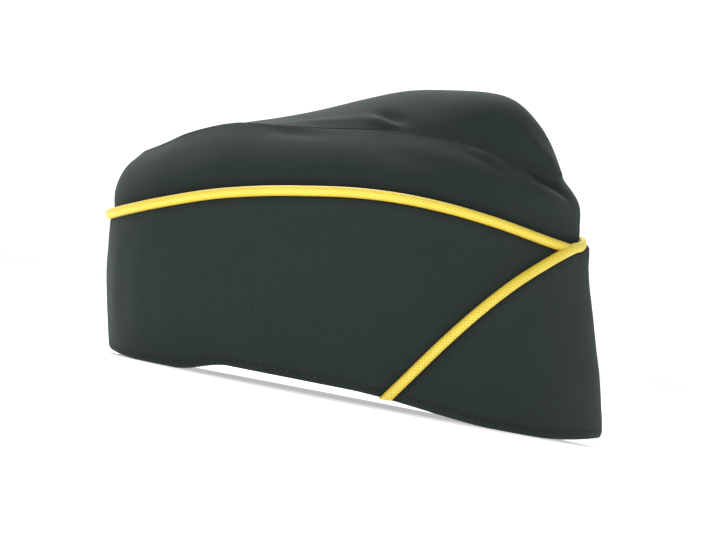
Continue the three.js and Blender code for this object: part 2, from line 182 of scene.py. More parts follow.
TOP_CREASES = [
    dict(line=[(-9, -27.8), (-3, -30.4), (3, -33.4)], push=-0.6, reach=1.4),
    dict(line=[(-12, -31.6), (-5, -34.2), (3, -36.0)], push=0.5, reach=1.8),
    dict(line=[(-44, -29.4), (-28, -31.4), (-11, -31.0)], push=0.7, reach=2.8),
    dict(line=[(60, -14.5), (69, -11.5), (77, -5.5)], push=1.6, reach=2.4),
    dict(line=[(54, -19.5), (64, -16.5), (74, -9.8)], push=-1.2, reach=1.8),
    dict(line=[(-14, 24.0), (-2, 29.0), (7, 33.6)], push=-1.2, reach=1.7),
    dict(line=[(56, 16.0), (66, 12.6), (76, 6.6)], push=0.9, reach=2.2),
]


def smooth(value, start, end):
    """0 up to start, 1 from end on, and an S-shaped cubic between them."""
    s = np.clip((value - start) / (end - start), 0, 1)
    return s * s * (3 - 2 * s)


def along(rows, key, column, at):
    """A smooth curve through one column of a table.

    Between two rows it is a cubic that has at each row the slope from the row before to the
    row after.
    """
    knots = np.array([row[key] for row in rows])
    values = np.array([row[column] for row in rows])
    before = np.r_[0, np.arange(len(rows) - 1)]
    after = np.r_[np.arange(1, len(rows)), len(rows) - 1]
    slopes = (values[after] - values[before]) / (knots[after] - knots[before])
    at = np.clip(at, knots[0], knots[-1])
    i = np.clip(np.searchsorted(knots, at, side="left") - 1, 0, len(knots) - 2)
    step = knots[i + 1] - knots[i]
    s = (at - knots[i]) / step
    bow = s * (1 - s) * step * ((1 - s) * slopes[i] - s * slopes[i + 1])
    return values[i] + (values[i + 1] - values[i]) * s * s * (3 - 2 * s) + bow


def near_front(t, reach):
    """1 at the front seam, falling off as a bell curve with the angle from it."""
    return np.exp(-(((t - PI) / reach) ** 2))


def level(column, v):
    return along(LEVELS, "v", column, v)


def station(column, u):
    return along(STATIONS, "u", column, u)


def rim_height(u):
    """Flat on the floor but for a lift at each end and a long one in the middle."""
    back = np.clip((RIM["back_end"] - u) / RIM["back_end"], 0, 1)
    front = np.clip((u - RIM["front_start"]) / (1 - RIM["front_start"]), 0, 1)
    middle = smooth(u, *RIM["rise"]) * (1 - smooth(u, *RIM["fall"]))
    return RIM["back_lift"] * back**2 + RIM["middle_lift"] * middle + RIM["front_lift"] * front**2


def level_at(u, z):
    """The level at which the surface reaches a height."""
    rim, cord, ridge = rim_height(u), station("cord_right", u), station("ridge", u)
    return np.where(z <= cord, (z - rim) / (cord - rim), 1 + (z - cord) / (ridge - cord))


def height_at(u, v):
    rim, cord, ridge = rim_height(u), station("cord_right", u), station("ridge", u)
    return np.where(v <= 1, rim + (cord - rim) * v, cord + (ridge - cord) * (v - 1))


def folds_at(folds, a, b):
    """The sum of the folds' pushes at points (a, b).

    Each falls off as a bell curve with the distance from its line, and is deepest halfway
    along the line.
    """
    total = np.zeros(np.broadcast(a, b).shape)
    for fold in folds:
        (a0, b0), (a1, b1) = fold["start"], fold["end"]
        da, db = a1 - a0, b1 - b0
        share = np.clip(((a - a0) * da + (b - b0) * db) / (da * da + db * db), 0, 1)
        away = np.hypot(a - a0 - share * da, b - b0 - share * db) / fold["reach"]
        depth = 0.35 + 0.65 * np.sin(PI * share)
        total += fold["push"] * np.exp(-away * away) * depth
    return total


def creases_at(creases, a, b):
    """The sum of the creases' pushes at points (a, b).

    Each falls off as a bell curve with the distance from its bent line, and fades out to
    its ends.
    """
    total = np.zeros(np.broadcast(a, b).shape)
    for crease in creases:
        line = crease["line"]
        nearest, place = np.full(total.shape, np.inf), np.zeros(total.shape)
        for i, ((a0, b0), (a1, b1)) in enumerate(zip(line[:-1], line[1:])):
            da, db = a1 - a0, b1 - b0
            share = np.clip(((a - a0) * da + (b - b0) * db) / (da * da + db * db), 0, 1)
            away = np.hypot(a - a0 - share * da, b - b0 - share * db)
            place = np.where(away < nearest, (i + share) / (len(line) - 1), place)
            nearest = np.minimum(nearest, away)
        depth = np.sin(PI * np.clip(0.08 + 0.84 * place, 0, 1))
        total += crease["push"] * np.exp(-((nearest / crease["reach"]) ** 2)) * depth
    return total


def length_share(t):
    """The share of the length, from back seam to front, at an angle round the cap."""
    return (1 - np.cos(t)) / 2


def side_of(t):
    return np.where(np.sin(t) < 0, -1, 1)


def surface(t, v):
    """The crown's outer surface.

    At each level it is a pointed oval between the back and front ends: its half width is
    the widest there times (2 sqrt(q (1 - q))) to the power of the pointedness, where q is
    the share of the length to the power 0.92. Folds push it in or out across the width.
    """
    t, v = np.broadcast_arrays(t, v)
    u = length_share(t)
    side = side_of(t)
    q = u**0.92
    point = level("back_point", v)
    point = point + (level("front_point", v) - point) * smooth(u, 0.15, 0.85)
    width = level("half", v) * (2 * np.sqrt(np.maximum(q * (1 - q), 0))) ** point
    x = level("back", v) + (level("front", v) - level("back", v)) * u
    z = height_at(u, v)
    fade = smooth(width, 0, 12) * smooth(2 - v, 0, 0.12) * smooth(v, 1, 1.2)
    push = np.zeros(t.shape)
    for fold_side in (-1, 1):
        folds = [fold for fold in SIDE_FOLDS if fold["side"] == fold_side]
        push = np.where(side == fold_side, folds_at(folds, x, z), push)
    return np.stack([x, side * (width + fade * push), z], axis=-1)


def unit(vectors):
    return vectors / np.maximum(np.linalg.norm(vectors, axis=-1, keepdims=True), 1e-12)


def surface_normal(t, v):
    """The outward normal, from the surface's slopes round the cap and up it."""
    dt, dv = 0.004, 0.01
    v = np.clip(v, 0, 2)
    round_cap = surface(t + dt, v) - surface(t - dt, v)
    up = surface(t, np.minimum(v + dv, 2)) - surface(t, np.maximum(v - dv, 0))
    return unit(np.cross(up, round_cap))


def climb_at(u, v):
    """How far the left half of the curtain stands off to clear the right half's front end."""
    return OVERLAP_LIFT * smooth(u, 0.93, 0.995) * (1 - smooth(v, 1.05, 1.2))


def top_surface(u, s):
    """The leaf-shaped top: s runs from -1 at the right ridge to 1 at the left one.

    Its height above the ridge is the crest's there times 1 - |s| to the crest power.
    """
    u, s = np.broadcast_arrays(u, s)
    t = np.arccos(1 - 2 * u)
    edge = surface(t, np.full(u.shape, 2.0))
    half = edge[..., 1]
    x, y = edge[..., 0], s * half
    rise = (station("crest", u) - edge[..., 2]) * (1 - np.abs(s) ** CREST_POWER)
    rise = rise * smooth(half, 0, 3)
    fade = smooth(1 - np.abs(s), 0, 0.15) * smooth(half, 0, 12)
    return np.stack([x, y, edge[..., 2] + rise + fade * folds_at(TOP_FOLDS, x, y)], axis=-1)


def top_normal(u, s):
    du, ds = 0.003, 0.01
    low, high = np.maximum(u - du, 0.0005), np.minimum(u + du, 0.9995)
    ahead = top_surface(high, s) - top_surface(low, s)
    across = top_surface(u, np.minimum(s + ds, 1)) - top_surface(u, np.maximum(s - ds, -1))
    return unit(np.cross(ahead, across))


# Grids of points


CLOSE = np.array([0.0, 0.05, 0.18, 0.42, 0.8]) * EDGE_ROUND  # lines of a grid next to an edge


def spread(length, count):
    """Places along each length: five close together at each end, and even between them."""
    close = CLOSE[:, None] * np.minimum(1, length / (2.6 * EDGE_ROUND))
    even = np.linspace(0, 1, count)[1:-1, None]
    return np.concatenate(
        [close, close[-1] + (length - 2 * close[-1]) * even, (length - close)[::-1]]
    )


def seam_angles(count):
    """Angles from the back seam to the front one, close together at both.

    The cap's half width near the back seam is about 66 mm times the angle, and near the front
    seam 66 mm times the angle from there to the power 1.45.
    """
    half_width, front_power = 66, 1.45
    back, front = CLOSE / half_width, PI - (CLOSE / half_width) ** (1 / front_power)
    return np.concatenate([back, np.linspace(back[-1], front[-1], count)[1:-1], front[::-1]])


def arcs(points, axis):
    """The distance along the grid from its first line, in one direction."""
    steps = np.linalg.norm(np.diff(points, axis=axis), axis=-1)
    first = np.zeros_like(np.take(steps, [0], axis=axis))
    return np.concatenate([first, np.cumsum(steps, axis=axis)], axis=axis)


def edge_distance(points):
    """The distance to the nearest edge, measured along the grid's lines."""
    distances = []
    for axis in (0, 1):
        arc = arcs(points, axis)
        distances += [arc, np.take(arc, [-1], axis=axis) - arc]
    return np.minimum.reduce(distances)


def make_piece(name, points, faces, material, uv=None, tone=None):
    """A smooth mesh at the origin, from points in millimetres, which rides on the cap.

    uv is its map, in tenths of a metre, and tone a number for each point, which its material
    reads as painted light and shade: the cloth's shade in its seams and creases, and the cord's
    shade in its grooves and beside the cloth.
    """
    mesh = bpy.data.meshes.new(name)
    mesh.from_pydata(((np.asarray(points) + CENTRE) * MM).tolist(), [], faces)
    mesh.polygons.foreach_set("use_smooth", np.ones(len(mesh.polygons), dtype=bool))
    if uv is not None:
        corner = np.empty(len(mesh.loops), dtype=np.int32)
        mesh.loops.foreach_get("vertex_index", corner)
        layer = mesh.uv_layers.new(name="Cloth")
        layer.data.foreach_set("uv", np.asarray(uv)[corner].astype(np.float32).ravel())
    if tone is not None:
        layer = mesh.attributes.new("tone", "FLOAT", "POINT")
        layer.data.foreach_set("value", np.asarray(tone).astype(np.float32).ravel())
    mesh.materials.append(material)
    mesh.update()
    made = bpy.data.objects.new(name, mesh)
    bpy.context.scene.collection.objects.link(made)
    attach(made, "root")
    return made


def grid_quads(index):
    """The four corners of each cell of a grid of point numbers."""
    corners = [index[:-1, :-1], index[:-1, 1:], index[1:, 1:], index[1:, :-1]]
    return np.stack([corner.ravel() for corner in corners], axis=-1)


def seam_shade(distance, reach):
    """How deep in the shade of a seam the cloth is, from 1 at the seam down to 0."""
    return np.exp(-((np.maximum(distance, 0) / reach) ** 1.5))


def closed_sheet(name, middle, normal, wall, flat, shade):
    """A sheet of cloth with rounded edges.

    Its two faces stand half a wall to each side of the middle grid. Within the rounding of
    an edge the half wall shrinks to nothing as a quarter circle, and both faces share their
    edge points. flat is where each point lies on the uncut cloth, and shade how deep it is
    in the shade of a seam.
    """
    rows, columns = middle.shape[:2]
    inward = np.clip(edge_distance(middle) / EDGE_ROUND, 0, 1)
    half = wall / 2 * np.sqrt(1 - (1 - inward) ** 2)
    edge = np.zeros((rows, columns), dtype=bool)
    edge[[0, -1], :] = True
    edge[:, [0, -1]] = True
    half[edge] = 0
    outer = middle + normal * half[..., None]
    inner = middle - normal * half[..., None]
    outer_index = np.arange(rows * columns).reshape(rows, columns)
    inner_index = outer_index.copy()
    inner_index[~edge] = rows * columns + np.arange(np.count_nonzero(~edge))
    points = np.concatenate([outer.reshape(-1, 3), inner[~edge]])
    i, j = rows // 2, columns // 2
    facing = np.cross(middle[i, j + 1] - middle[i, j], middle[i + 1, j] - middle[i, j])
    outward, backward = grid_quads(outer_index), grid_quads(inner_index)
    if facing @ normal[i, j] < 0:
        outward = outward[:, ::-1]
    else:
        backward = backward[:, ::-1]
    uv = np.concatenate([flat.reshape(-1, 2), flat[~edge]]) / 100
    faces = np.concatenate([outward, backward]).tolist()
    shade = np.concatenate([shade.ravel(), shade[~edge]])
    return make_piece(name, points, faces, CLOTH, uv, shade)


def flat_cloth(t, v, points):
    """Where the cloth's points lie before sewing: the run at one level, and the way up."""
    run = arcs(surface(t[:1], np.full((1, t.shape[1]), v)), 1)
    return np.stack([np.broadcast_to(run, t.shape), arcs(points, 0)], axis=-1)


# Creases and rolls too fine for the solids


def drape(x, z, seed):
    """Slow waves of the cloth: the mean of five sines in directions of their own."""
    waves, shortest, longest = 5, 26, 62
    rng = np.random.default_rng(seed)
    total = np.zeros(np.broadcast(x, z).shape)
    for _ in range(waves):
        heading, phase = rng.uniform(0, PI), rng.uniform(0, 2 * PI)
        wavelength = rng.uniform(shortest, longest)
        wave = x * math.cos(heading) + z * math.sin(heading)
        total += np.sin(2 * PI * wave / wavelength + phase) / waves
    return total


def puckers(distance, run, seed):
    """Small waves along a seam, which die away within a few millimetres of it.

    Each is a sine of the run along the seam, whose phase wanders by two slower sines.
    """
    size, reach, spacing = 0.16, 3.2, 6.5
    start = np.random.default_rng(seed).uniform(0, 6)
    wander = 1.3 * np.sin(run / 17 + start) + 0.8 * np.sin(run / 7.3 + 2 * start)
    return size * np.exp(-distance / reach) * np.sin(2 * PI * run / spacing + wander)


def curtain_waves(points, seed):
    """The curtain's slow waves, upright flutes near the back seam, and stitched rim."""
    flute, flute_pitch, flutes_middle, flutes_reach = 0.18, 19, 40, 32
    up = arcs(points, 0)
    down = up[-1:] - up
    from_back = arcs(points, 1)
    flutes = flute * np.sin(2 * PI * from_back / flute_pitch + 0.6)
    flutes = flutes * np.exp(-(((from_back - flutes_middle) / flutes_reach) ** 2))
    flutes = flutes * smooth(up, 4, 20) * smooth(down, 2, 14)
    waves = CURTAIN_WAVE * drape(points[..., 0], points[..., 2], seed)
    waves = waves * smooth(up, 2, 16) * smooth(down, 1, 12)
    groove = -STITCH_GROOVE * np.exp(-(((up - STITCH_HEIGHT) / 0.7) ** 2))
    curl = -RIM_CURL * (1 - smooth(up, 0, 2.4))
    edge = puckers(down, from_back, seed) * smooth(down, 0.3, 1.5)
    return flutes + waves + groove + curl + edge


# The panels


def blend_to_mitre(normal, mitre, distance):
    """The normal, turned to the mitre between two panels within a millimetre or so."""
    share = np.exp(-((distance / 1.2) ** 2))[..., None]
    return normal * (1 - share) + mitre * share


def sunk(from_ridge, u):
    """How far the middle of the crown's cloth lies below its surface: less at the ridge seam.

    Behind the dome the outer face drops into the seam's groove. Along the dome it stays almost
    level up to the seam. The drop is what the rounding of the edge takes off half the wall.
    """
    inward = np.clip(from_ridge / EDGE_ROUND, 0, 1)
    drop = CROWN_WALL / 2 * (1 - np.sqrt(1 - (1 - inward) ** 2))
    return CROWN_WALL / 2 - (0.4 + 0.45 * smooth(u, *DOME_START)) * drop


def ridge_shade(from_ridge, u):
    """The shade of the ridge seam, fainter along the dome."""
    return (0.4 - 0.28 * smooth(u, *DOME_START)) * seam_shade(from_ridge, 2.5)


def crown_side(node, side, seed):
    """One side of the crown, from the rim behind the curtain up to the ridge.

    A grid of columns on the surface, which are even in height. Behind the curtain the cloth
    stands in a little from the surface.
    """
    t = side * seam_angles(180)[None, :]
    u = length_share(t)
    rim, ridge = rim_height(u), station("ridge", u)
    z = rim + spread((ridge - rim)[0], 100)
    v = level_at(u, z)
    t = np.broadcast_to(t, z.shape)
    points, normal = surface(t, v), surface_normal(t, v)
    from_ridge = arcs(points, 0)
    from_ridge = from_ridge[-1:] - from_ridge
    top = top_normal(u, np.full(u.shape, float(side)))
    inward = blend_to_mitre(normal, unit(normal[-1:] + top), from_ridge)
    shown = smooth(v, 0.96, 1.1)
    waves = SIDE_WAVE * drape(points[..., 0], z, seed) * shown
    waves = waves * smooth(np.abs(points[..., 1]), 0, 10)
    creases = [crease for crease in SIDE_CREASES if crease["side"] == side]
    from_seam = smooth(np.abs(points[..., 1]), 0, 4)
    waves = waves + creases_at(creases, points[..., 0], z) * from_seam
    waves = waves + puckers(from_ridge, points[..., 0], seed)
    waves = waves * smooth(from_ridge, 0, 2) - BEHIND_CURTAIN * (1 - smooth(v, 0.8, 0.94))
    middle = points - inward * sunk(from_ridge, u)[..., None] + normal * waves[..., None]
    middle[..., 1] = side * np.maximum(side * middle[..., 1], 0)
    middle[:, [0, -1], 1] = -side * SEAM_LAP
    # painted shade for the colour: darker beside the cord, along the ridge seam and in the deepest
    # creases
    from_cord = np.abs(z - cord_height(t)) - CORD_WIDTH
    dark = [crease for crease in creases if crease["push"] < -1]
    shade = np.maximum(0.7 * seam_shade(from_cord, 2.4), ridge_shade(from_ridge, u))
    shade = np.maximum(shade, -0.5 * creases_at(dark, points[..., 0], z))
    flat = flat_cloth(t, 1.4, points)
    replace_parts(closed_sheet(node + "_cloth", middle, normal, CROWN_WALL, flat, shade), node)


def crown_top():
    """The top let in between the ridges: a grid of lines across it, even in width."""
    u = length_share(seam_angles(160)[1:-1])[None, :]
    half = surface(np.arccos(1 - 2 * u), np.full(u.shape, 2.0))[..., 1]
    y = spread(2 * half[0], 76) - half
    s = np.clip(y / half, -1, 1)
    u = np.broadcast_to(u, s.shape)
    points, normal = top_surface(u, s), top_normal(u, s)
    across = arcs(points, 0)
    inward = normal
    for row, side, distance in ((0, -1, across), (-1, 1, across[-1:] - across)):
        t = side * np.arccos(1 - 2 * u[row])
        mitre = unit(surface_normal(t, np.full(t.shape, 2.0)) + normal[row])
        inward = blend_to_mitre(inward, mitre, distance)
    from_ridge = np.minimum(across, across[-1:] - across)
    x, y = points[..., 0], points[..., 1]
    waves = TOP_WAVE * drape(x, y, 31) * smooth(from_ridge, 0, 8)
    waves = waves + puckers(from_ridge, x, 33) * smooth(from_ridge, 0, 2)
    waves = waves + creases_at(TOP_CREASES, x, y) * smooth(from_ridge, 0, 3)
    middle = points - inward * sunk(from_ridge, u)[..., None] + normal * waves[..., None]
    run = arcs(points, 1)
    run = run - run[:, [run.shape[1] // 2]]
    flat = np.stack([run, across - across[-1:] / 2], axis=-1)
    # painted shade for the colour along the ridge seam
    shade = ridge_shade(from_ridge, u)
    piece = closed_sheet("crown_top_cloth", middle, normal, CROWN_WALL, flat, shade)
    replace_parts(piece, "crown_top")


def seen_slant(z, lift):
    """The angles and heights on the surface of the slanting line at the heights z.

    The line is what the eye sees from the right of points that stand off the surface by lift.
    Each starts from the line's own x and z and moves by half of what it misses, again and
    again.
    """
    x = along(SLANT[::-1], "z", "x", z)
    aim_x, aim_z = x.copy(), z.copy()
    v = np.full(z.shape, 0.5)
    for _ in range(40):
        span = level("front", v) - level("back", v)
        u = np.clip((aim_x - level("back", v)) / span, 0, 0.99999)
        v = np.clip(level_at(u, aim_z), -0.05, 2)
        t = 2 * PI - np.arccos(1 - 2 * u)
        seen = surface(t, v) + surface_normal(t, v) * (lift + climb_at(1, v))[..., None]
        aim_x += 0.5 * (x - seen[..., 0])
        aim_z += 0.5 * (z - seen[..., 2])
    return t, height_at(u, v)


def left_line():
    """The left half's cord as heights against the angle, from the back seam to the rim.

    It follows the left edge to the front seam and the slanting line from there. The corner
    between them is rounded by averaging over a short run.
    """
    slant_top, half_window, corner_reach = 86.5, 20, 0.3
    t_left = np.linspace(0, PI, 260)
    z_left = station("cord_left", length_share(t_left))
    z_seen = np.linspace(slant_top, SLANT[-1]["z"], 120)
    t_slant, z_slant = seen_slant(z_seen, GAP + CORD_DEPTH)
    t = np.linspace(0, t_slant[-1], 900)
    z = np.interp(t, np.r_[t_left, t_slant], np.r_[z_left, z_slant])
    window = np.hanning(2 * half_window + 1)
    padded = np.pad(z, half_window, mode="reflect", reflect_type="odd")
    rounded = np.convolve(padded, window / window.sum(), mode="valid")
    return t, z + (rounded - z) * near_front(t, corner_reach)


LEFT_T, LEFT_Z = left_line()


def slant_angle(line, height):
    """The angle at which the slanting edge's line comes down to a height above the rim."""
    past = LEFT_T > PI + SLANT_PAST
    above = (line - rim_height(length_share(LEFT_T)))[past]
    return float(np.interp(-height, -above, LEFT_T[past]))


def cord_height(t):
    """The height of the cord's middle line: the left one's up to its end, then the right's."""
    on_left = (t >= 0) & (t <= LEFT_T[-1])
    right = station("cord_right", length_share(t))
    return np.where(on_left, np.interp(t, LEFT_T, LEFT_Z), right)


def cloth_edge(t, z):
    """The upper edge of the cloth beside a cord, which is further down where that slants.

    Returns its height, and how level the cord is: the cosine of its slope.
    """
    place = surface(t, level_at(length_share(t), z))
    slope = np.gradient(z) / np.maximum(np.linalg.norm(np.gradient(place, axis=0), axis=-1), 1e-6)
    level_share = np.sqrt(np.clip(1 - slope**2, 0.2, 1))
    return z - (CORD_WIDTH - CORD_OVER_EDGE) / level_share, level_share


def curtain(node, t, edge, climb, seed, slants):
    """A half of the curtain: columns of cloth from the rim up to the edge beside its cord.

    climb gives how far it stands off the surface beyond the gap, and slants how level its
    cord is at each angle.
    """
    u = length_share(t)
    rim = rim_height(u)
    z = rim + spread(np.maximum(edge - rim, LEAST_HEIGHT), 70)
    v = np.maximum(level_at(u, z), 0)
    t = np.broadcast_to(t, z.shape)
    points, normal = surface(t, v), surface_normal(t, v)
    lift = GAP + CURTAIN_WALL / 2 + climb(t, v) + curtain_waves(points, seed)
    middle = points + normal * lift[..., None]
    middle[0, :, 2] = rim
    middle[:, 0, 1] = SEAM_LAP * (1 if t[0, 0] > PI else -1)
    flat = flat_cloth(t, 0.6, points)
    # painted shade for the colour: darker just below the cord and along the rim's stitched groove
    from_cord = (z[-1:] - z) * slants
    from_rim = arcs(points, 0)
    stitched = np.abs(from_rim - STITCH_HEIGHT)
    shade = np.maximum(0.7 * seam_shade(from_cord, 2.2), 0.5 * seam_shade(stitched, 0.9))
    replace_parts(closed_sheet(node + "_cloth", middle, normal, CURTAIN_WALL, flat, shade), node)


def no_climb(t, v):
    """The right half lies on the surface all the way."""
    return np.zeros(np.broadcast(t, v).shape)


def wrap_climb(t, v):
    """The left half climbs over the right one's front end, and stays up past the seam."""
    return climb_at(np.where(t > PI, 1, length_share(t)), v)


def curtain_right():
    """The right half, which ends just short of the front seam, under the left one."""
    t = 2 * PI - seam_angles(190)
    t = t[length_share(t) < UNDER_END]
    edge, slants = cloth_edge(t, station("cord_right", length_share(t)))
    curtain("curtain_right", t, edge, no_climb, 41, slants)


def curtain_left():
    """The left half, whose edge goes round the front seam and down the slanting line.

    At the front seam, beside the cord, the cloth reaches higher and rolls out.
    """
    edge, slants = cloth_edge(LEFT_T, LEFT_Z)
    stop = slant_angle(edge, SLANT_FOOT)
    front = seam_angles(190)[: -len(CLOSE)]
    close = CLOSE[::-1] / 60
    t = np.r_[front, np.linspace(front[-1], stop - close[0], 170)[1:-1], stop - close]
    slants = np.interp(t, LEFT_T, slants)
    edge = np.interp(t, LEFT_T, edge) + FRONT_RISE * near_front(t, 0.25)

    def climb(t, v):
        roll = FRONT_ROLL * near_front(t, 0.3) * smooth(v, 0.9, 1.1)
        return wrap_climb(t, v) + roll

    curtain("curtain_left", t, edge, climb, 43, slants)


# The cords


def braid(round_cord, run):
    """The relief of a braid: eight strands each way, each a rounded band, over and under.

    Returns the height, from 0 in the deepest groove to 1.
    """
    strands, repeat, over = 8, 1.9, 0.35
    turn = 2 * PI * run / repeat
    one = np.cos((strands * round_cord + turn) / 2)
    other = np.cos((strands * round_cord - turn) / 2)
    weave = one * other * over
    high = np.maximum(weave + np.abs(one), np.abs(other) - weave)
    return np.clip(high / (1 + over), 0, 1)


def cord(node, t_path, z_path, climb):
    """A cord: an oval tube along a line on the surface, raised by its braid's relief.

    climb gives how far it stands off the surface beyond the gap. Its back end is cut almost
    square, where the two cords meet, and its front end is round. Near the rim it is cut level.
    """
    def lifted(t, z):
        v = level_at(length_share(t), z)
        normal = surface_normal(t, v)
        lift = GAP + CORD_DEPTH + climb(t, v)
        return surface(t, v) + normal * lift[..., None], normal

    run = arcs(lifted(t_path, z_path)[0][None], 1)[0]
    count = int(run[-1] / RING_STEP)
    at = np.linspace(0, run[-1], count)
    t, z = np.interp(at, run, t_path), np.interp(at, run, z_path)
    centre, normal = lifted(t, z)
    along_cord = unit(np.gradient(centre, axis=0))
    normal = unit(normal - along_cord * np.sum(normal * along_cord, axis=-1, keepdims=True))
    beside = np.cross(along_cord, normal)
    angle = np.linspace(0, 2 * PI, CORD_SIDES, endpoint=False)[None, :]
    rounding = np.minimum(at / BACK_ROUND, (at[-1] - at) / FRONT_ROUND)
    taper = np.sqrt(1 - (1 - np.clip(rounding, 0, 1)) ** 2)[:, None]
    relief = braid(angle, at[:, None])
    grow = taper * (1 + BRAID_DEPTH * (relief - 0.75))
    ring = centre[:, None] + (
        normal[:, None] * (CORD_DEPTH * grow * np.cos(angle))[..., None]
        + beside[:, None] * (CORD_WIDTH * grow * np.sin(angle))[..., None]
    )
    above_foot = (ring[..., 2] - CORD_FOOT) / FOOT_ROUND
    ring[..., 2] = CORD_FOOT + FOOT_ROUND * np.logaddexp(0, above_foot)
    # painted light and shade: the braid's colour is lightest on its outer line, darker towards the
    # cloth and in its grooves
    painted_side_shade = SIDE_SHADE + (1 - SIDE_SHADE) * np.clip(np.cos(angle), 0, 1) ** 0.8
    ring, tone = ring[1:-1], (relief * painted_side_shade)[1:-1]
    rings = count - 2
    centre[-1, 2] = max(centre[-1, 2], CORD_FOOT)
    points = np.concatenate([ring.reshape(-1, 3), centre[[0, -1]]])
    index = np.arange(rings * CORD_SIDES).reshape(rings, CORD_SIDES)
    index = np.concatenate([index, index[:, :1]], axis=1)
    quads = grid_quads(index)[:, ::-1]
    back_end = np.full(CORD_SIDES, rings * CORD_SIDES)
    back = np.stack([back_end, index[0, 1:], index[0, :-1]], axis=-1)
    front = np.stack([back_end + 1, index[-1, :-1], index[-1, 1:]], axis=-1)
    faces = quads.tolist() + back.tolist() + front.tolist()
    tone = np.r_[tone.ravel(), 0.5, 0.5]
    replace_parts(make_piece(node + "_braid", points, faces, CORD, tone=tone), node)


def sunk_climb(t, v):
    """The left cord climbs with its cloth, but lies deeper in it at the front seam."""
    return wrap_climb(t, v) - FRONT_SINK * near_front(t, 0.4)


def cords():
    """The right cord from the back seam forward, and the left one round to the rim."""
    stop = 2 * PI - math.acos(1 - 2 * RIGHT_END)
    t = np.linspace(2 * PI, stop, 1500)
    cord("cord_right", t, station("cord_right", length_share(t)), no_climb)
    t = np.linspace(0.0, LEFT_T[-1], 3000)
    cord("cord_left", t, np.interp(t, LEFT_T, LEFT_Z), sunk_climb)


# The rim's stitches


def stitches(name, t_start, t_stop, climb):
    """A row of short stitches sunk in the groove above the rim, each a small capsule."""
    t = np.linspace(t_start, t_stop, 2000)
    z = rim_height(length_share(t)) + STITCH_HEIGHT

    def place(angle, height):
        v = level_at(length_share(angle), height)
        normal = surface_normal(angle, v)
        lift = GAP + CURTAIN_WALL - STITCH_SINK + 0.3 * STITCH_RADIUS + climb(angle, v)
        return surface(angle, v) + normal * lift[..., None], normal

    run = arcs(place(t, z)[0][None], 1)[0]
    count = int(run[-1] / STITCH_PITCH)
    at = (np.arange(count) + 0.5) * run[-1] / count
    centre, normal = place(np.interp(at, run, t), np.interp(at, run, z))
    ahead, _ = place(np.interp(at + 0.3, run, t), np.interp(at + 0.3, run, z))
    tangent = unit(ahead - centre)
    normal = unit(normal - tangent * np.sum(normal * tangent, axis=-1, keepdims=True))
    beside = np.cross(tangent, normal)
    along_it = np.array([-1, -0.97, -0.85, -0.5, 0, 0.5, 0.85, 0.97, 1])
    radius = STITCH_RADIUS * np.sqrt(1 - along_it**6)
    angle = np.linspace(0, 2 * PI, STITCH_SIDES, endpoint=False)
    bow = -0.1 * along_it**2
    shape = np.stack(
        [
            np.repeat(along_it[1:-1, None] * STITCH_LENGTH / 2, STITCH_SIDES, axis=1),
            radius[1:-1, None] * np.cos(angle) + bow[1:-1, None],
            radius[1:-1, None] * np.sin(angle),
        ],
        axis=-1,
    ).reshape(-1, 3)
    tips = np.array([[-STITCH_LENGTH / 2, bow[0], 0], [STITCH_LENGTH / 2, bow[-1], 0]])
    shape = np.concatenate([shape, tips])
    axes = np.stack([tangent, normal, beside], axis=1)
    points = centre[:, None] + np.einsum("pk,nkc->npc", shape, axes)
    rings = len(along_it) - 2
    index = np.arange(rings * STITCH_SIDES).reshape(rings, STITCH_SIDES)
    index = np.concatenate([index, index[:, :1]], axis=1)
    quads = grid_quads(index)[:, ::-1]
    tip = np.full(STITCH_SIDES, rings * STITCH_SIDES)
    start = np.stack([tip, index[0, 1:], index[0, :-1]], axis=-1)
    stop = np.stack([tip + 1, index[-1, :-1], index[-1, 1:]], axis=-1)
    offsets = np.arange(count)[:, None, None] * len(shape)
    faces = []
    for part in (quads, start, stop):
        faces += (part[None] + offsets).reshape(-1, part.shape[1]).tolist()
    make_piece(name, points.reshape(-1, 3), faces, THREAD)


# Materials

CLOTH_SHADE = (0.0128, 0.0197, 0.018)
CLOTH_LIGHT = (0.0302, 0.0437, 0.0402)
# painted shade: the colour the cloth is darkened towards in its seams and creases
CLOTH_SEAM_PAINTED_SHADE = (0.006, 0.007, 0.0055)
THREAD_SHADE = (0.013, 0.018, 0.016)
THREAD_LIGHT = (0.034, 0.043, 0.038)
# painted shade in the braid's grooves and beside the cloth, and a painted highlight on its outer
# crests
CORD_GROOVE_PAINTED_SHADE = (0.72, 0.4, 0.006)
CORD_CREST_PAINTED_HIGHLIGHT = (0.98, 0.86, 0.13)


class Wire:
    """A number on its way through a shader. Sums with it make new nodes."""

    def __init__(self, shader, socket):
        self.shader, self.socket = shader, socket

    def __add__(self, other):
        return self.shader.maths("ADD", self, other)

    def __mul__(self, other):
        return self.shader.maths("MULTIPLY", self, other)

    def __sub__(self, other):
        return self.shader.maths("SUBTRACT", self, other)

    def __rsub__(self, other):
        return self.shader.maths("SUBTRACT", other, self)

    def __truediv__(self, other):
        return self.shader.maths("DIVIDE", self, other)

    def __rtruediv__(self, other):
        return self.shader.maths("DIVIDE", other, self)

    __radd__, __rmul__ = __add__, __mul__


